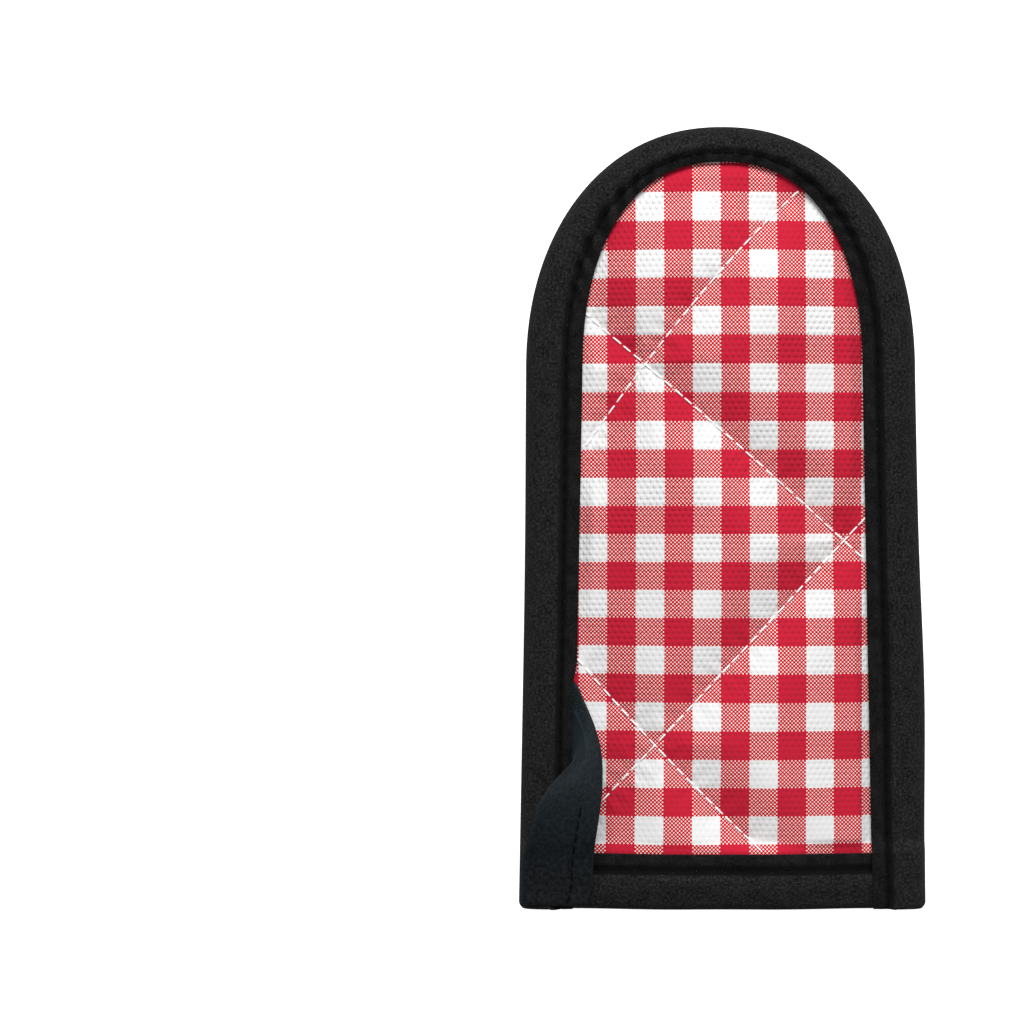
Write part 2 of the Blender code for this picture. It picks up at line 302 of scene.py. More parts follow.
def puffed(distance):
    """From 0 on a quilting line to 1 further from all of them than the reach."""
    rounded = np.hypot(distance, LINE_ROUNDING) - LINE_ROUNDING
    return np.sin(pi / 2 * np.clip(rounded / PUFF_REACH, 0, 1))


def plumpness(x, y):
    """The batting is thinner at the lower left and at the top than elsewhere."""
    lower_left = smooth((2 - x) / 22) * smooth((4 - y) / 30)
    top = smooth((y - 34) / 24)
    return 1 - 0.55 * lower_left - 0.35 * top


def quilted_relief(x, y):
    """How the batting and the stitching lift the outer face."""
    distance, along = nearest_quilting(x, y)
    puff = plumpness(x, y) * (PUFF_RISE * puffed(distance) - PUFF_DIP)
    uneven = PUFF_UNEVEN * swell(x, y, 13, 11) * smooth(distance / 3)
    pull = 1 - 0.35 * np.cos(2 * pi * along / QUILTING_PITCH)
    groove = QUILTING_GROOVE * pull * hill(distance, 0.75)
    folds = np.sin(2 * pi * along / PUCKER_LENGTH + 4 * swell(x, y, 15, 12))
    puckers = PUCKER_RISE * folds * hill(distance - 2.2, 1.7)
    return framed(x, y, PUFF_FADE) * (puff + uneven - groove + puckers)


# Making a piece of cloth

def cloth_piece(name, columns, rows, place, thickness, materials, thin=None, keep=None):
    """A grid whose points a rule puts in place, thickened inwards from its outer face.

    place(across, along) gives, for two rows of shares from 0 to 1, the points and their places on the
    flat cloth. thin, where given, is the least thickness and a rule for x and y, which is 0 where the
    cloth is that thin and 1 where it is at its full thickness. keep, where given, is the share of all
    faces left when the inner face is made coarser.
    """
    mesh = bpy.data.meshes.new(name)
    sheet = bmesh.new()
    bmesh.ops.create_grid(sheet, x_segments=columns, y_segments=rows, size=0.5)
    sheet.to_mesh(mesh)
    sheet.free()
    grid = np.zeros(len(mesh.vertices) * 3)
    mesh.vertices.foreach_get("co", grid)
    across, along = grid.reshape(-1, 3).T[:2] + 0.5
    points, flat = place(across, along)
    mesh.vertices.foreach_set("co", (np.stack(points, 1) * MM).ravel())
    mesh.attributes.new("flat", "FLOAT_VECTOR", "POINT").data.foreach_set(
        "vector", np.stack(flat, 1).ravel())
    mesh.shade_smooth()
    for material in materials:
        mesh.materials.append(material)
    piece = bpy.data.objects.new(name, mesh)
    bpy.context.scene.collection.objects.link(piece)
    shell = piece.modifiers.new("thickness", "SOLIDIFY")
    shell.thickness = thickness * MM
    shell.offset = -1
    shell.use_even_offset = True
    shell.use_quality_normals = True
    shell.material_offset = len(materials) - 1
    if thin:
        least, share_at = thin
        group = piece.vertex_groups.new(name="thickness")
        for index, share in enumerate(share_at(points[0], points[1])):
            group.add([index], share, "REPLACE")
        shell.vertex_group = group.name
        shell.thickness_vertex_group = least / thickness
    if keep:
        shell.shell_vertex_group = piece.vertex_groups.new(name="inner face").name
        coarser = piece.modifiers.new("coarser inner face", "DECIMATE")
        coarser.ratio = keep
        coarser.vertex_group = shell.shell_vertex_group
    return piece


# Panels

INNER_FACES_KEPT = 0.66  # share of a panel's faces left when its inner face is made coarser
PANEL_ROWS = ((-77.5, 8), (-69.5, 370), (73.0, 8), (76.85, 0))  # y, and rows from there to the next
PANEL_COLUMNS = ((-1.0, 4), (-0.8, 162), (0.8, 4), (1.0, 0))  # share of the half width, and columns


def spaced(share, stops):
    """The value at a share of all the steps, from stops of (value, steps from there to the next)."""
    values, steps = zip(*stops)
    passed = np.concatenate(([0], np.cumsum(steps[:-1])))
    return np.interp(share, passed / passed[-1], values)


def panel_place(across, along):
    """X and Y on a panel, whose grid is as wide as its outline at each row."""
    y = spaced(along, PANEL_ROWS)
    half_width = HALF_WIDTH - PANEL_INSET
    up = np.clip((y - FOOT_Y) / (LENGTH / 2 - PANEL_INSET - FOOT_Y), 0, 1)
    narrowed = half_width * (1 - up**TOP_ROUNDNESS) ** (1 / TOP_ROUNDNESS)
    edge = np.where(y > FOOT_Y, narrowed, half_width + side_spread(y))
    return spaced(across, PANEL_COLUMNS) * edge, y


def print_place(x, y):
    """Where the print lies: the cloth was drawn a little out of square as it was cut and bound."""
    to_side = 0.40 * smooth((-y - 22) / 52) * smooth((18 - x) / 40)
    downwards = 0.12 + 0.36 * hill(y - 11, 22) - 0.50 * smooth((y - 54) / 18)
    u = x + to_side + PRINT_UNEVEN * swell(x, y, 26, 41)
    v = y + downwards + PRINT_UNEVEN * swell(x, y, 26, 42)
    return u, v, np.zeros_like(x)


def panel_thickness(x, y):
    """0 where a panel is as thin as in its hem, 1 where the batting is at its full thickness."""
    distance = nearest_quilting(x, y)[0]
    batting = (PUFF_THICK - PANEL_THICK) * puffed(distance)
    batting = batting - STITCHED_THINNER * hill(distance, STITCHED_REACH)
    thick = PANEL_THICK + batting * framed(x, y, PUFF_FADE) + (HEMMED_THICK - PANEL_THICK) * hem_step(y)
    return (thick - HEMMED_THICK) / (PUFF_THICK - HEMMED_THICK)


def back_panel_thickness(x, y):
    return panel_thickness(-x, y)


def front_height(x, y):
    """The front's outer face."""
    return FRONT_TOP + FRONT_STEP * hem_step(y) + crown(x, y) + quilted_relief(x, y)


def front_panel_place(across, along):
    x, y = panel_place(across, along)
    return (x, y, front_height(x, y)), print_place(x, y)


def back_height(x, y):
    """The back is the same cloth turned over, its puffs pressed flat by the surface."""
    edge = drop(x, y)
    pressed = np.clip(BACK_LIFT - quilted_relief(-x, y), 0, BACK_LIFT_MOST)
    lines = (1 - edge) * (1 - hem_step(y)) * pressed
    return BACK_BOTTOM * edge + HEM_LIFT * hem_step(y) + lines


def back_panel_place(across, along):
    x, y = panel_place(1 - across, along)
    return (x, y, back_height(x, y)), print_place(-x, y)


# Side binding

BINDING_COLUMNS = 46
BINDING_SIDE_ROWS = 190
BINDING_TOP_ROWS = 270
TOP_START, TOP_SHARE = 0.29, 0.42  # where the round top starts along the binding, and its share of it
FOLD_START = 0.42  # shares of a tape's width, from the inner edge of its outer leg, where it turns
FOLD_END = 0.78


def bulge(x, y):
    """How far to the right the outline is moved.

    It stands out a little at its left shoulder and on its right side, and is rounded at the mouth.
    """
    to_left = SHOULDER_OUT * hill(y - 40, 36)
    to_right = LOWER_RIGHT_OUT * hill(y + 36, 24) + UPPER_RIGHT_OUT * hill(y - 60, 14)
    corner = CORNER_IN * smooth((BINDING_END_Y + CORNER_HEIGHT - y) / CORNER_HEIGHT)
    return np.where(x < 0, corner - to_left, to_right - corner) * np.abs(x) / HALF_WIDTH


def binding_edges(along):
    """The outline's points and the inner edge's, from the bottom right over the top."""
    foot = BINDING_SIDE_ROWS / (2 * BINDING_SIDE_ROWS + BINDING_TOP_ROWS)
    side = np.minimum(along, 1 - along)
    y = BINDING_END_Y + (FOOT_Y - BINDING_END_Y) * np.minimum(side / foot, 1)
    sign = np.where(along < 0.5, 1, -1)
    angle = np.clip((along - foot) / (1 - 2 * foot), 0, 1) * pi
    outer = round_point(angle, HALF_WIDTH, LENGTH / 2 - FOOT_Y, TOP_ROUNDNESS)
    inner = round_point(angle, SEEN_HALF_WIDTH, SEEN_TOP - FOOT_Y, SEEN_ROUNDNESS)
    on_side = side <= foot
    outer_x = np.where(on_side, sign * (HALF_WIDTH + side_spread(y)), outer[0])
    outer_y = np.where(on_side, y, outer[1])
    inner_x = np.where(on_side, sign * (SEEN_HALF_WIDTH + side_spread(y)), inner[0])
    inner_y = np.where(on_side, y, inner[1])
    return outer_x + bulge(outer_x, outer_y), outer_y, inner_x, inner_y


def loop_lift(x, y):
    """1 beside the place where the hanging loop comes out from under the binding."""
    middle = (LOOP_LIFT_FROM + LOOP_LIFT_TO) / 2
    reach = (LOOP_LIFT_TO - LOOP_LIFT_FROM) / 2
    return smooth((reach + 4 - np.abs(y - middle)) / 6) * (x < 0)


def run_length(places):
    """How far along its line each of the places lies."""
    steps = np.hypot(*np.diff(np.stack(places), axis=1))
    return np.concatenate(([0], np.cumsum(steps)))


def band_run(along):
    """How far along the middle of the band each of the shares lies."""
    outer_x, outer_y, inner_x, inner_y = binding_edges(along)
    return run_length(((outer_x + inner_x) / 2, (outer_y + inner_y) / 2))


ALONG_BINDING = np.linspace(0, 1, 1500)
BINDING_RUN = band_run(ALONG_BINDING)


def seam_reach(width):
    """How far from the inner edge the seam runs, where the band has a width."""
    return SEAM_IN - SEAM_IN_SHARE * (SIDE_BAND - width)


def pressed_nap_and_seam_shade(reach, seam, drawn=1.0):
    """1 on the strip between a tape's inner edge and its seam, where the nap is pressed flat.

    In the seam itself it is twice the share to which the thread is drawn tight, and the finish paints it
    dark, as shade in the groove, where little light comes back.
    """
    painted_seam_shade = 2 * drawn * smooth((1.25 - np.abs(reach - seam - 0.1)) / 0.7)
    return np.maximum(0.99 * smooth((seam + 0.5 - reach) / 0.9), painted_seam_shade)


def tape_relief(reach, seam, leg, run, seed, drawn=1.0):
    """How the seam and the handling lift and draw in a tape's outer leg."""
    groove = SEAM_DEPTH * drawn * hill(reach - seam, 0.9)
    needles = NEEDLE_DIP * np.cos(2 * pi * run / TAPE_PITCH) * hill(reach - seam, 0.8)
    belly = BELLY_RISE * np.sin(pi * np.clip((reach - seam) / (leg - seam), 0, 1)) ** 0.8
    lip = LIP_DROP * smooth((seam - reach) / seam)
    uneven = 0.10 * swell(run, 2 * reach, 9, seed) + 0.10 * swell(run, reach, 5, seed + 5)
    return belly - groove - needles - lip + uneven * smooth(reach / 2)


def binding_puckers(run, reach, seam, angle_share):
    """Small folds across the seam where the tape goes round the top, most at its left shoulder.

    They go from -1 in the pits to 1 on the ridges, and the finish paints the pits darker, as shade, and the
    ridges lighter, as highlight.
    """
    shoulder = hill(angle_share - 0.78, 0.12) + 0.35 * hill(angle_share - 0.25, 0.16)
    slanted = run + 0.9 * (reach - seam)
    wave = np.sin(2 * pi * slanted / BINDING_PUCKER_LENGTH + 2 * swell(run, reach, 14, 51))
    return (0.12 + shoulder) * wave * hill(reach - seam, 2.2)


def binding_place(across, along):
    """The binding's points, folded round the outline from the front leg to the back one.

    Their places on the flat tape are along it, across it, and how far its nap is pressed, with painted shade
    in its seam and in its puckers' pits and painted highlight on their ridges.
    """
    outer_x, outer_y, inner_x, inner_y = binding_edges(along)
    width = np.hypot(outer_x - inner_x, outer_y - inner_y)
    leg = width - BINDING_FOLD
    seam = seam_reach(width)
    run = np.interp(along, ALONG_BINDING, BINDING_RUN)
    top = BINDING_TOP + BINDING_BULGE + BINDING_STEP * hem_step(outer_y)
    turn = np.clip((across - FOLD_START) / (FOLD_END - FOLD_START), 0, 1) * pi
    front = across <= FOLD_START
    back = across > FOLD_END
    front_reach = across / FOLD_START * leg
    back_reach = leg * (1 - across) / (1 - FOLD_END)
    reach = np.where(front, front_reach, np.where(back, back_reach, leg + BINDING_FOLD * np.sin(turn)))
    beside_loop = loop_lift(inner_x, inner_y)
    lifted = LOOP_END_LIFT * beside_loop * smooth((seam - front_reach) / seam)
    top_share = (along - TOP_START) / TOP_SHARE
    drawn = 1 - 0.55 * hill(top_share - 0.5, 0.2)
    relief = tape_relief(front_reach, seam, leg, run, 61, drawn) + lifted
    puckers = binding_puckers(run, front_reach, seam, top_share)
    relief = relief + BINDING_PUCKER_RISE * puckers
    fold = top / 2 + top / 2 * np.cos(turn)
    back_groove = BACK_SEAM_DEPTH * hill(back_reach - seam, 0.6)
    height = np.where(front, top + relief, np.where(back, back_groove, fold))
    share = reach / width
    pushed = LOOP_END_PUSH * beside_loop * smooth((seam - reach) / seam) * front
    x = inner_x + (outer_x - inner_x) * share - pushed
    y = inner_y + (outer_y - inner_y) * share
    around = leg + turn / pi * BINDING_AROUND
    developed = np.where(front, front_reach, np.where(back, width * 3 - back_reach, around))
    # painted light: the puckers' pits are marked to be painted darker, as shade, and their ridges lighter,
    # as highlight
    front_nap_shade_and_highlight = pressed_nap_and_seam_shade(front_reach, seam, drawn) - 1.1 * puckers
    nap = np.where(front, front_nap_shade_and_highlight, np.where(back, pressed_nap_and_seam_shade(back_reach, seam), 0))
    return (x, y, height), (run, developed, nap)


# Hems

HEM_COLUMNS = 44
HEM_ROWS = 150


def hem_place(across, along, front):
    """A hem's points, folded round the mouth's edge of its panel, with places as the binding has them."""
    sign = 1 if front else -1
    x = sign * HEM_HALF_LENGTH * (2 * along - 1)
    radius = HEM_STACK / 2
    fold_y = -LENGTH / 2 + MOUTH_GAP + radius
    outer_leg, inner_leg = HEM_FRONT_LEG - radius, HEM_INNER_LEG - radius
    reach = np.clip(across / FOLD_START, 0, 1) * outer_leg
    turn = np.clip((across - FOLD_START) / (FOLD_END - FOLD_START), 0, 1) * pi
    inner = np.clip((across - FOLD_END) / (1 - FOLD_END), 0, 1) * inner_leg
    y = fold_y + outer_leg - reach - radius * np.sin(turn) + inner
    sagging = HEM_SAG + HEM_END_SAG * smooth(np.abs(x) / 22)
    y = y - sagging * smooth(across / FOLD_START)
    depth = radius - radius * np.cos(turn)
    on_leg = across <= FOLD_START
    relief = tape_relief(reach, SEAM_IN, outer_leg, x + HEM_HALF_LENGTH, 62)
    if front:
        height = FRONT_HEM_BOTTOM + HEM_STACK + crown(x, y) - depth + np.where(on_leg, relief, 0)
    else:
        groove = BACK_SEAM_DEPTH * hill(reach - SEAM_IN, 0.6)
        height = BACK_BOTTOM * drop(x, y) + depth + np.where(on_leg, groove, 0)
    developed = reach + turn * radius + inner
    nap = np.where(on_leg, pressed_nap_and_seam_shade(reach, SEAM_IN), 0)
    return (x, y, height), (x + HEM_HALF_LENGTH, developed, nap)


def front_hem_place(across, along):
    return hem_place(across, along, True)


def back_hem_place(across, along):
    return hem_place(across, along, False)


# Hanging loop

LOOP_COLUMNS = 52
LOOP_ROWS = 170


def curve_through(points, share):
    """Points on the smooth curve through all of the given ones."""
    points = np.array(points)
    place = share * (len(points) - 1)
    start = np.minimum(place.astype(int), len(points) - 2)
    t = (place - start)[:, None]
    a, b, c, d = (points[np.clip(start + offset, 0, len(points) - 1)] for offset in (-1, 0, 1, 2))
    return b + 0.5 * t * (c - a + t * (2 * a - 5 * b + 4 * c - d + t * (3 * (b - c) + d - a)))


def loop_middle_run():
    """How far along the loop's middle line each of its shares lies."""
    shares = np.linspace(0, 1, 400)
    left_x, left_y, left_z, right_x, right_y, right_z, rise = curve_through(LOOP_SECTIONS, shares).T
    middle = np.stack([left_x + right_x, left_y + right_y, left_z + right_z + 2 * rise]) / 2
    steps = np.sqrt((np.diff(middle, axis=1) ** 2).sum(0))
    return shares, np.concatenate(([0], np.cumsum(steps)))


LOOP_SHARES, LOOP_RUN = loop_middle_run()


def loop_surface(across, along):
    """The loop's points: a twisted band with a sewn groove low down and a crease near its upper end."""
    left_x, left_y, left_z, right_x, right_y, right_z, rise = curve_through(LOOP_SECTIONS, along).T
    x = left_x + (right_x - left_x) * across
    y = left_y + (right_y - left_y) * across
    bow = rise * 4 * across * (1 - across)
    upper = smooth((along - 0.60) / 0.12) * smooth((0.97 - along) / 0.08)
    lower = smooth((0.52 - along) / 0.08) * smooth((along - 0.05) / 0.05)
    ridge = LOOP_RIDGE * upper * np.exp(-np.abs(across - LOOP_FOLD) * LOOP_WIDTH / 1.2)
    groove = LOOP_GROOVE * lower * hill((across - LOOP_CREASE) * LOOP_WIDTH, 0.45)
    middle = (across - 0.5) * LOOP_WIDTH
    rolled = LOOP_ROLL * smooth((np.abs(middle) - LOOP_WIDTH / 2 + 0.8) / 0.8)
    uneven = LOOP_UNEVEN * swell(middle, along * LOOP_RUN[-1], 7, 71)
    height = left_z + (right_z - left_z) * across + bow + ridge - groove - rolled + uneven
    return x, y, height


def loop_place(across, along):
    """The loop's points and their places on the flat tape.

    The third number of a place is 1 where the weave is stretched smooth, which the finish also paints
    lighter as light on that facet, and 2 where the finish paints a crease or an edge pale, as highlight.
    """
    run = np.interp(along, LOOP_SHARES, LOOP_RUN)
    middle = (across - 0.5) * LOOP_WIDTH
    # painted light: the facet left of the crease is marked to be painted lighter, as the side that faces the
    # light
    smooth_lit_facet = smooth((along - 0.66) / 0.10) * smooth((LOOP_FOLD - across) / 0.1 + 1)
    # painted highlight: the crease, both edges, and the left edge in the arch more, are marked to be painted
    # pale
    wear_and_highlight = hill((across - LOOP_FOLD) * LOOP_WIDTH, 0.25) * smooth((along - 0.62) / 0.06)
    wear_and_highlight = wear_and_highlight * (0.5 + 0.5 * swell(run, middle, 5, 72))
    wear_and_highlight = wear_and_highlight + 0.3 * smooth((np.abs(middle) - LOOP_WIDTH / 2 + 0.5) / 0.3)
    wear_and_highlight = wear_and_highlight + 0.2 * smooth((-middle - LOOP_WIDTH / 2 + 1.3) / 0.9) * hill(along - 0.54, 0.09)
    return loop_surface(across, along), (run, middle, np.maximum(smooth_lit_facet, 2 * np.clip(wear_and_highlight, 0, 1)))


# Thread

def thread_piece(name, runs, radius, material):
    """Stitches: one short bent length of thread for each run of points."""
    curve = bpy.data.curves.new(name, "CURVE")
    curve.dimensions = "3D"
    curve.bevel_depth = radius * MM
    curve.bevel_resolution = 2
    curve.use_fill_caps = True
    curve.materials.append(material)
    for points in runs:
        spline = curve.splines.new("POLY")
        spline.points.add(len(points) - 1)
        for point, place in zip(spline.points, points):
            point.co = (*(value * MM for value in place), 1)
        for point in (spline.points[0], spline.points[-1]):
            point.radius = THREAD_END
    piece = bpy.data.objects.new(name, curve)
    bpy.context.scene.collection.objects.link(piece)
    return piece


STITCH_PLACES = np.array([0, 0.08, 0.3, 0.5, 0.7, 0.92, 1])  # shares of a stitch's length
STITCH_HEIGHTS = np.array([-0.9, 0.5, 1.1, 1.2, 1.1, 0.5, -0.9])  # shares of its stand, at those places


def stitches(line, height, pitch, dash, stand, seed):
    """Points of each stitch along a line, whose ends go into the cloth.

    height(x, y, places) gives the cloth's face, from points or from how far along the line they lie.
    """
    line = np.array(line, float)
    run = run_length(tuple(line.T[:2]))
    draw = np.random.default_rng(seed)
    made = []
    for start in np.arange(0.3, run[-1] - dash, pitch):
        begin = start + draw.uniform(-0.12, 0.12)
        length = dash * draw.uniform(0.88, 1.1)
        places = begin + length * STITCH_PLACES
        x, y = (np.interp(places, run, line[:, axis]) for axis in (0, 1))
        z = height(x, y, places) + stand * STITCH_HEIGHTS
        made.append(list(zip(x, y, z)))
    return made


def line_on_cloth(x, y, z):
    """A line of points on the cloth, and the rule that gives the cloth's face along it."""
    run = run_length((x, y))
    return np.stack([x, y], 1), lambda _x, _y, places: np.interp(places, run, z)


def quilting_runs(mirrored):
    """The quilting's stitches on the front's outer face, or on the back's."""
    def face(x, y, places):
        return back_height(x, y) if mirrored else front_height(x, y)

    stand = BACK_QUILTING_STAND if mirrored else FRONT_QUILTING_STAND
    made = []
    for seed, path in enumerate(QUILTING_PATHS, start=80):
        line = path * (-1 if mirrored else 1, 1)
        not_far_under_binding = inside_binding(*line.T) > -3
        made += stitches(line[not_far_under_binding], face, QUILTING_PITCH, QUILTING_DASH, stand, seed)
    return made


def binding_seam(front):
    """The line of the binding's seam on its front leg or its back one, and the face's height along it."""
    along = np.linspace(0.001, 0.999, 900)
    outer_x, outer_y, inner_x, inner_y = binding_edges(along)
    width = np.hypot(outer_x - inner_x, outer_y - inner_y)
    share = seam_reach(width) / width
    across = FOLD_START * seam_reach(width) / (width - BINDING_FOLD)
    x = inner_x + (outer_x - inner_x) * share
    y = inner_y + (outer_y - inner_y) * share
    z = binding_place(across, along)[0][2] if front else np.full_like(x, BACK_SEAM_DEPTH)
    return line_on_cloth(x, y, z)


def hem_seam(place):
    """The line of a hem's seam on its outer leg, and the face's height along it."""
    along = np.linspace(0.08, 0.92, 300)
    across = FOLD_START * SEAM_IN / (HEM_FRONT_LEG - HEM_STACK / 2)
    return line_on_cloth(*place(np.full_like(along, across), along)[0])


def tape_runs():
    """The stitches of the binding's seam and of both hems' seams, on both sides."""
    seams = (
        (binding_seam(front=True), FRONT_SEAM_STAND),
        (binding_seam(front=False), BACK_SEAM_STAND),
        (hem_seam(front_hem_place), FRONT_SEAM_STAND),
        (hem_seam(back_hem_place), BACK_SEAM_STAND),
    )
    made = []
    for seed, (seam, stand) in enumerate(seams, start=90):
        made += stitches(*seam, TAPE_PITCH, TAPE_DASH, stand, seed)
    return made


def loop_runs():
    """The stitches along the loop's right edge."""
    along = np.linspace(0.06, 0.47, 200)
    line, height = line_on_cloth(*loop_surface(np.full_like(along, LOOP_CREASE), along))
    return stitches(line, height, LOOP_PITCH, LOOP_DASH, LOOP_STITCH_STAND, 95)


# Finishes, whose noise scales are hills for each millimetre of the flat cloth

def linear(code):
    """A colour's red, green and blue as linear light, from its sRGB hex value."""
    values = [int(code[start:start + 2], 16) / 255 for start in (1, 3, 5)]
    return (*(v / 12.92 if v <= 0.04045 else ((v + 0.055) / 1.055) ** 2.4 for v in values), 1.0)


def add(tree, kind, inputs=(), **settings):
    """Adds a node with its settings. inputs holds pairs of an input and its value or link."""
    node = tree.nodes.new("ShaderNode" + kind)
    for name, value in settings.items():
        setattr(node, name, value)
    for name, value in inputs:
        if isinstance(value, bpy.types.NodeSocket):
            tree.links.new(value, node.inputs[name])
        else:
            node.inputs[name].default_value = value
    return node


def finish(name, **sockets):
    """A material whose Principled shader has the given values, written with _ for spaces."""
    made = bpy.data.materials.new(name)
    made.use_nodes = True
    shader = made.node_tree.nodes["Principled BSDF"]
    for socket, value in sockets.items():
        shader.inputs[socket.replace("_", " ").title().replace("Ior", "IOR")].default_value = value
    return made, made.node_tree, shader


def gingham_cotton():
    """Plain woven cotton, printed: matt, with a fine weave, and red squares over white.

    A square where a red column meets a red row is solid. Where only one of them runs it is a fine check,
    whose red is the plain ink, a little deeper than where a whole square is covered. The raised dots of
    the weave are fainter where the cloth is worn and towards the mouth.
    """
    made, tree, shader = finish(
        "printed gingham cotton", roughness=0.9, ior=1.45, specular_ior_level=0.15, sheen_weight=0.03,
        sheen_roughness=0.5)
    flat = add(tree, "Attribute", attribute_name="flat").outputs["Vector"]
    placed = add(tree, "VectorMath", [(0, flat), (1, (COLUMN_START, ROW_START, 0))], operation="SUBTRACT")
    split = add(tree, "SeparateXYZ", [("Vector", placed.outputs[0])])
    stripes = []
    for axis in ("X", "Y"):
        value = split.outputs[axis]
        for operation, number in (("DIVIDE", 2 * SQUARE), ("FRACT", 0.0), ("LESS_THAN", 0.5)):
            value = add(tree, "Math", [(0, value), (1, number)], operation=operation).outputs[0]
        stripes.append(value)
    columns, rows = stripes
    solid = add(tree, "Math", [(0, columns), (1, rows)], operation="MULTIPLY").outputs[0]
    mixed = add(tree, "Math", [(0, columns), (1, rows)], operation="SUBTRACT").outputs[0]
    mixed = add(tree, "Math", [(0, mixed)], operation="ABSOLUTE").outputs[0]

    waves = []
    for axis in ("X", "Y"):
        value = split.outputs[axis]
        for operation, number in (("MULTIPLY", pi * CHECKS_PER_SQUARE / SQUARE), ("SINE", 0.0)):
            value = add(tree, "Math", [(0, value), (1, number)], operation=operation).outputs[0]
        waves.append(value)
    checks = add(tree, "Math", [(0, waves[0]), (1, waves[1])], operation="MULTIPLY").outputs[0]
    checks = add(tree, "Math", [(0, checks), (1, INK_SPREAD)], operation="LESS_THAN").outputs[0]
    fine = add(tree, "Math", [(0, mixed), (1, checks)], operation="MULTIPLY").outputs[0]
    inked = add(tree, "Math", [(0, solid), (1, fine)], operation="ADD").outputs[0]
    red = add(tree, "Mix", [(0, solid), (6, linear("#C8000D")), (7, linear("#C01E36"))], data_type="RGBA")
    cloth = add(tree, "Mix", [(0, inked), (6, linear("#E8E8E8")), (7, red.outputs[2])], data_type="RGBA")
    tree.links.new(cloth.outputs[2], shader.inputs["Base Color"])

    split = add(tree, "SeparateXYZ", [("Vector", flat)])
    waves = []
    for axis, length in (("X", DOT_ACROSS), ("Y", 2 * DOT_ROW), ("Y", DOT_ROW)):
        value = split.outputs[axis]
        for operation, number in (("MULTIPLY", 2 * pi / length), ("COSINE", 0.0)):
            value = add(tree, "Math", [(0, value), (1, number)], operation=operation).outputs[0]
        waves.append(value)
    dots = add(tree, "Math", [(0, waves[0]), (1, waves[1])], operation="MULTIPLY").outputs[0]
    dots = add(tree, "MapRange", [
        ("Value", dots), ("From Max", 0.9)], interpolation_type="SMOOTHSTEP").outputs[0]
    dots = add(tree, "Math", [
        (0, waves[2]), (1, DOT_ROW_SHARE), (2, dots)], operation="MULTIPLY_ADD").outputs[0]
    wear_and_highlight = add(tree, "TexNoise", [("Vector", flat), ("Scale", 0.12), ("Detail", 1.0)]).outputs["Fac"]
    wear_and_highlight = add(tree, "MapRange", [
        ("Value", wear_and_highlight), ("From Min", 0.35), ("From Max", 0.6), ("To Min", 0.5)]).outputs[0]
    washed = add(tree, "MapRange", [
        ("Value", split.outputs["Y"]), ("From Min", -60.0), ("From Max", 0.0), ("To Min", 0.5)]).outputs[0]
    for share in (wear_and_highlight, washed):
        dots = add(tree, "Math", [(0, dots), (1, share)], operation="MULTIPLY").outputs[0]

    yarns = add(tree, "TexNoise", [("Vector", flat), ("Scale", 3.2), ("Detail", 2.0)]).outputs["Fac"]
    relief = add(tree, "Math", [
        (0, yarns), (1, YARN_SHARE), (2, dots)], operation="MULTIPLY_ADD").outputs[0]
    bump = add(tree, "Bump", [("Height", relief), ("Strength", 1.0), ("Distance", DOT_RISE * MM)])
    tree.links.new(bump.outputs["Normal"], shader.inputs["Normal"])
    return made


def plain_cotton():
    """The panels' inner side: the same cotton, unprinted."""
    made, tree, shader = finish(
        "plain white cotton", base_color=linear("#E9E7E2"), roughness=0.9, ior=1.5, sheen_weight=0.1)
    flat = add(tree, "Attribute", attribute_name="flat").outputs["Vector"]
    yarns = add(tree, "TexNoise", [("Vector", flat), ("Scale", 2.6), ("Detail", 3.0)]).outputs["Fac"]
    bump = add(tree, "Bump", [("Height", yarns), ("Strength", 0.4), ("Distance", 0.08 * MM)])
    tree.links.new(bump.outputs["Normal"], shader.inputs["Normal"])
    return made


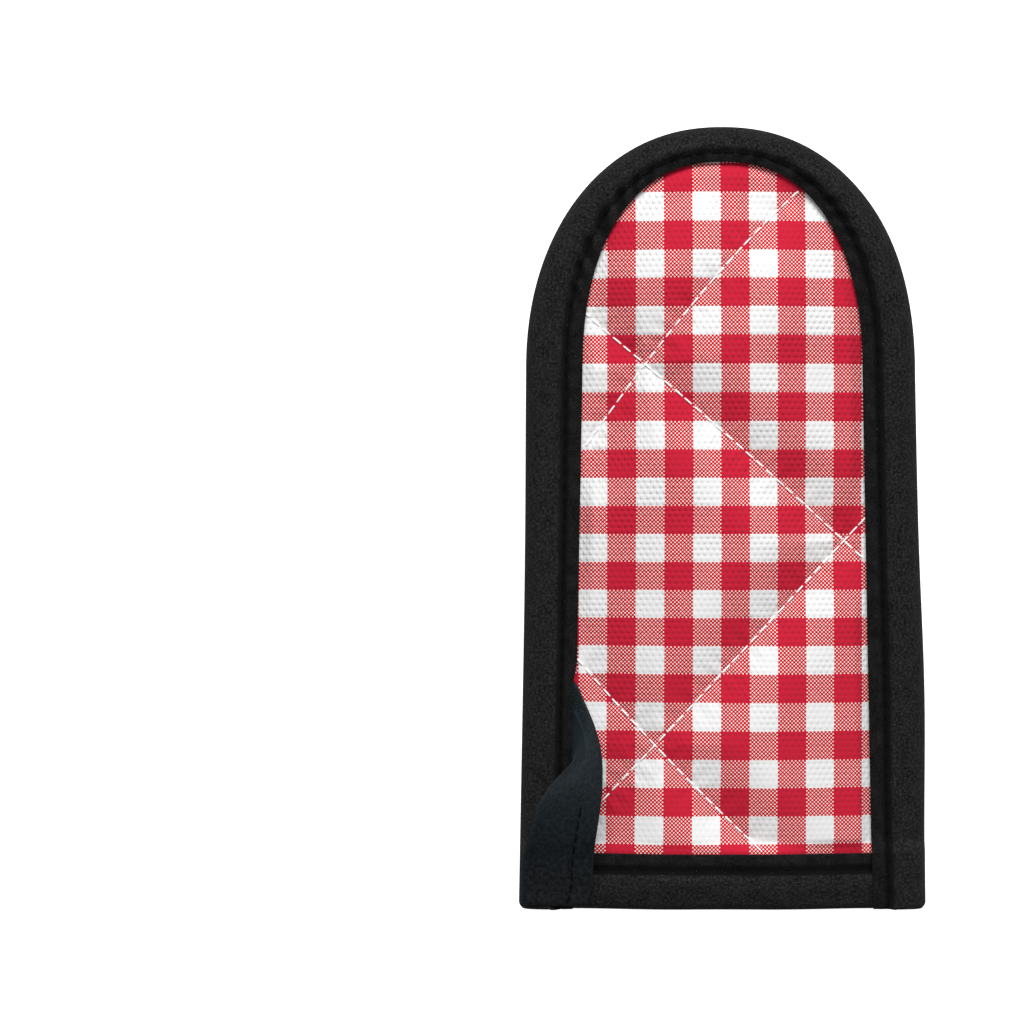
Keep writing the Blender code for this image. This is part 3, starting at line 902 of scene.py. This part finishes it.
def brushed_twill():
    """Cotton twill tape, brushed: a deep matt black with grey flecks of nap and a little pale lint.

    The nap's flecks are weaker where it is pressed flat beside the seam. The seam itself is painted darkest,
    as shade in its groove, and the puckers' pits darker, as shade, and their ridges lighter, as highlight.
    """
    made, tree, shader = finish(
        "brushed black cotton twill", roughness=0.95, ior=1.45, sheen_weight=0.03, sheen_roughness=0.6,
        specular_ior_level=0.08)
    flat = add(tree, "Attribute", attribute_name="flat").outputs["Vector"]
    split = add(tree, "SeparateXYZ", [("Vector", flat)])
    on_tape = add(tree, "CombineXYZ", [("X", split.outputs["X"]), ("Y", split.outputs["Y"])]).outputs[0]
    nap = add(tree, "TexNoise", [
        ("Vector", on_tape), ("Scale", 1.9), ("Detail", 5.0), ("Roughness", 0.8)]).outputs["Fac"]
    flecks = add(tree, "MapRange", [
        ("Value", nap), ("From Min", 0.42), ("From Max", 0.72)], interpolation_type="SMOOTHSTEP").outputs[0]
    # fewer flecks where the nap is pressed; more on the puckers' ridges, as painted highlight, and fewer in
    # their pits, as painted shade
    standing = add(tree, "MapRange", [
        ("Value", split.outputs["Z"]), ("To Min", 1.0), ("To Max", 0.35)]).outputs[0]
    flecks = add(tree, "Math", [(0, flecks), (1, standing)], operation="MULTIPLY").outputs[0]

    patches = add(tree, "TexNoise", [
        ("Vector", on_tape), ("Scale", 0.35), ("Detail", 3.0), ("Roughness", 0.6)]).outputs["Fac"]
    patches = add(tree, "MapRange", [("Value", patches), ("From Min", 0.3), ("From Max", 0.7)]).outputs[0]
    ground = add(tree, "Mix", [
        (0, patches), (6, linear("#020202")), (7, linear("#191919"))], data_type="RGBA").outputs[2]
    tape = add(tree, "Mix", [
        (0, flecks), (6, ground), (7, linear("#383839"))], data_type="RGBA").outputs[2]

    # painted shade: the seam's groove and the puckers' pits are painted near black
    painted_seam_shade = add(tree, "MapRange", [
        ("Value", split.outputs["Z"]), ("From Min", 0.9), ("From Max", 1.7), ("To Max", 0.85)]).outputs[0]
    tape = add(tree, "Mix", [(0, painted_seam_shade), (6, tape), (7, linear("#040404"))], data_type="RGBA").outputs[2]
    lint = add(tree, "TexNoise", [("Vector", on_tape), ("Scale", 2.3), ("Detail", 1.0)]).outputs["Fac"]
    lint = add(tree, "MapRange", [("Value", lint), ("From Min", 0.74), ("From Max", 0.83)]).outputs[0]
    tape = add(tree, "Mix", [(0, lint), (6, tape), (7, linear("#5A5957"))], data_type="RGBA").outputs[2]
    tree.links.new(tape, shader.inputs["Base Color"])
    bump = add(tree, "Bump", [("Height", nap), ("Strength", 0.8), ("Distance", 0.16 * MM)])
    tree.links.new(bump.outputs["Normal"], shader.inputs["Normal"])
    return made


def loop_twill():
    """Herringbone cotton tape, unbrushed: blue black, with clear diagonal lines that meet in its middle.

    The lines are drawn a little coarser than the weave, so that they show, and more clearly in some
    places than in others. The tape is bluer further up. Where it is stretched smooth its lines are fainter
    and it is painted lighter, as light on the facet that faces the light, and its crease and edges are
    painted pale, as highlight.
    """
    made, tree, shader = finish(
        "blue black herringbone tape", roughness=0.7, ior=1.45, specular_ior_level=0.12, sheen_weight=0.02,
        sheen_roughness=0.4)
    flat = add(tree, "Attribute", attribute_name="flat").outputs["Vector"]
    split = add(tree, "SeparateXYZ", [("Vector", flat)])
    value = add(tree, "Math", [(0, split.outputs["Y"])], operation="ABSOLUTE").outputs[0]
    value = add(tree, "Math", [(0, value), (1, split.outputs["X"])], operation="ADD").outputs[0]
    turns = 2 * pi / (LOOP_LINES * 2**0.5)
    value = add(tree, "Math", [(0, value), (1, turns)], operation="MULTIPLY").outputs[0]
    lines = add(tree, "Math", [(0, value)], operation="SINE").outputs[0]
    lines = add(tree, "MapRange", [("Value", lines), ("From Min", -1.0), ("From Max", 1.0)]).outputs[0]
    on_tape = add(tree, "CombineXYZ", [("X", split.outputs["X"]), ("Y", split.outputs["Y"])]).outputs[0]
    shown = add(tree, "TexNoise", [("Vector", on_tape), ("Scale", 1.1), ("Detail", 4.0)]).outputs["Fac"]
    shown = add(tree, "MapRange", [("Value", shown), ("From Min", 0.35), ("From Max", 0.7)]).outputs[0]
    woven = add(tree, "MapRange", [
        ("Value", split.outputs["Z"]), ("To Min", 1.0), ("To Max", 0.25)]).outputs[0]
    for share in (shown, woven):
        lines = add(tree, "Math", [(0, lines), (1, share)], operation="MULTIPLY").outputs[0]

    further = add(tree, "MapRange", [
        ("Value", split.outputs["X"]), ("From Min", 6.0), ("From Max", 18.0)]).outputs[0]
    ground = add(tree, "Mix", [
        (0, further), (6, linear("#0B0B0D")), (7, linear("#10171B"))], data_type="RGBA").outputs[2]
    # painted light: the smooth facet is painted lighter, as the side that faces the light
    facet = add(tree, "MapRange", [("Value", split.outputs["Z"]), ("To Max", 0.8)]).outputs[0]
    ground = add(tree, "Mix", [(0, facet), (6, ground), (7, linear("#222D33"))], data_type="RGBA").outputs[2]
    tape = add(tree, "Mix", [(0, lines), (6, ground), (7, linear("#2C3337"))], data_type="RGBA").outputs[2]
    # painted highlight: the crease and the edges are painted pale
    wear_and_highlight = add(tree, "MapRange", [
        ("Value", split.outputs["Z"]), ("From Min", 1.0), ("From Max", 2.0), ("To Max", 0.9)]).outputs[0]
    tape = add(tree, "Mix", [(0, wear_and_highlight), (6, tape), (7, linear("#79848B"))], data_type="RGBA").outputs[2]
    tree.links.new(tape, shader.inputs["Base Color"])
    bump = add(tree, "Bump", [("Height", lines), ("Strength", 0.5), ("Distance", 0.07 * MM)])
    tree.links.new(bump.outputs["Normal"], shader.inputs["Normal"])
    return made


def spun_thread(name, code, painted_glow=0.0):
    """Spun polyester sewing thread: matt, with a little fuzz.

    The last argument is the strength of a faint glow of the white thread, painted light that lightens its
    shaded sides.
    """
    made, tree, shader = finish(
        name, roughness=0.8, ior=1.45, specular_ior_level=0.1, emission_color=linear("#FFFFFF"),
        emission_strength=painted_glow)
    place = add(tree, "TexCoord").outputs["Object"]
    fuzz = add(tree, "TexNoise", [("Vector", place), ("Scale", 4.0 / MM), ("Detail", 2.0)]).outputs["Fac"]
    shade = tuple(0.85 * value for value in linear(code)[:3]) + (1.0,)
    spun = add(tree, "Mix", [(0, fuzz), (6, shade), (7, linear(code))], data_type="RGBA")
    tree.links.new(spun.outputs[2], shader.inputs["Base Color"])
    bump = add(tree, "Bump", [("Height", fuzz), ("Strength", 0.4), ("Distance", 0.06 * MM)])
    tree.links.new(bump.outputs["Normal"], shader.inputs["Normal"])
    return made


def opal_acrylic():
    """The matt top of a light table, lit from below, so that it takes nearly no shadow."""
    return finish(
        "matt opal acrylic", base_color=linear("#E4E4E4"), roughness=0.95, ior=1.49,
        specular_ior_level=0.1, emission_color=linear("#FFFFFF"), emission_strength=0.9)[0]


# Putting the cover together

def add_thread(name, runs, radius, material):
    """Sewing: a piece of stitches."""
    piece = thread_piece(name, runs, radius, material)
    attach(piece, "root")
    return piece


def put_in_place(piece, node, slot, flat, held, rests_on, sewing, **area):
    """Attaches a sheet of cloth to the cover and hides the solid that it stands for."""
    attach(piece, "root")
    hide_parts(node)


def add_panel(name, node, place, share_at, finishes, sewing):
    """A quilted panel, printed outside and plain inside."""
    columns, rows = (sum(steps for _, steps in stops) for stops in (PANEL_COLUMNS, PANEL_ROWS))
    thin = (HEMMED_THICK, share_at)
    panel = cloth_piece(name, columns, rows, place, PUFF_THICK, finishes, thin, keep=INNER_FACES_KEPT)
    put_in_place(
        panel, node, "gingham_cotton", PANEL_FLAT, "laid", ["back_hem"], sewing, area=PANEL_FLAT_AREA)


def add_binding(black, sewing):
    """The tape round both panels' edges, from one corner of the mouth over the top to the other."""
    rows = 2 * BINDING_SIDE_ROWS + BINDING_TOP_ROWS
    tape = cloth_piece("binding_tape", BINDING_COLUMNS, rows, binding_place, TAPE_THICK, [black])
    put_in_place(tape, "side_binding", "black_twill", BINDING_FLAT, "folded", ["gingham_front"], sewing)


def add_hem(name, node, place, black):
    """A tape folded round a panel's edge at the mouth. Its stitches are with the binding's."""
    tape = cloth_piece(name, HEM_COLUMNS, HEM_ROWS, place, HEM_THICK, [black])
    put_in_place(tape, node, "black_twill", HEM_FLAT, "folded", ["gingham_front"], [])


def add_loop(blue_black, sewing):
    """The hanging loop at the bottom left corner."""
    tape = cloth_piece("loop_tape", LOOP_COLUMNS, LOOP_ROWS, loop_place, LOOP_THICK, [blue_black])
    put_in_place(tape, "hanging_loop", "loop_twill", LOOP_FLAT, "folded", ["gingham_front"], sewing)


def add_cover():
    """All the sewing first, and then the cloth that it is sewn through."""
    # the white thread is given a faint glow, painted light on its shaded sides
    white_thread = spun_thread("white spun polyester thread", "#FFFFFF", painted_glow=0.12)
    black_thread = spun_thread("black spun polyester thread", "#050505")
    front_stitches = add_thread(
        "quilting_stitches_front", quilting_runs(False), THREAD_RADIUS, white_thread)
    back_stitches = add_thread(
        "quilting_stitches_back", quilting_runs(True), BACK_THREAD_RADIUS, white_thread)
    seam_stitches = add_thread(
        "tape_seam_stitches", tape_runs(), THREAD_RADIUS, black_thread)
    loop_stitches = add_thread(
        "loop_edge_stitches", loop_runs(), THREAD_RADIUS, black_thread)

    panel_sides = [gingham_cotton(), plain_cotton()]
    add_panel(
        "gingham_front", "front_panel", front_panel_place, panel_thickness, panel_sides, [front_stitches])
    add_panel(
        "gingham_back", "back_panel", back_panel_place, back_panel_thickness, panel_sides, [back_stitches])
    black = brushed_twill()
    add_binding(black, [seam_stitches])
    add_hem("front_hem_tape", "front_hem", front_hem_place, black)
    add_hem("back_hem_tape", "back_hem", back_hem_place, black)
    add_loop(loop_twill(), [loop_stitches])


# Stage

def add_floor():
    """The surface that the cover lies on."""
    mesh = bpy.data.meshes.new("floor")
    sheet = bmesh.new()
    bmesh.ops.create_grid(sheet, x_segments=2, y_segments=2, size=FLOOR_REACH)
    sheet.to_mesh(mesh)
    sheet.free()
    mesh.materials.append(opal_acrylic())
    floor = bpy.data.objects.new("floor", mesh)
    floor.location.z = FLOOR_Z
    floor.visible_diffuse = False  # its own light stays off the cover's sides
    floor.visible_glossy = False
    bpy.context.scene.collection.objects.link(floor)


def add_light(name, place, size, power):
    """A soft square light in metres and watts that faces the cover."""
    lamp = bpy.data.lights.new(name, "AREA")
    lamp.size = size
    lamp.energy = power
    light = bpy.data.objects.new(name, lamp)
    light.location = place
    light.rotation_euler = (-Vector(place)).to_track_quat("-Z", "Y").to_euler()
    bpy.context.scene.collection.objects.link(light)


def add_lights():
    """White room light from all around, and one soft light from beyond the cover's round end."""
    world = bpy.data.worlds.new("studio")
    world.use_nodes = True
    room = world.node_tree.nodes["Background"]
    room.inputs["Color"].default_value = linear("#FFFFFF")
    room.inputs["Strength"].default_value = ROOM_LIGHT
    bpy.context.scene.world = world
    add_light("soft key light from the top", KEY_LIGHT_PLACE, KEY_LIGHT_SIZE, KEY_LIGHT_POWER)


def add_camera():
    """Straight above, as in the photograph, over the middle of its frame."""
    view = bpy.data.cameras.new("camera")
    view.lens = LENS
    view.sensor_width = SENSOR
    camera = bpy.data.objects.new("camera", view)
    camera.location = (FRAME_X * MM, FRAME_Y * MM, (FRAME_WIDTH * LENS / SENSOR + OUTLINE_HEIGHT) * MM)
    bpy.context.scene.collection.objects.link(camera)
    bpy.context.scene.camera = camera


bpy.context.scene.view_settings.view_transform = "Standard"
add_cover()
add_floor()
add_lights()
add_camera()
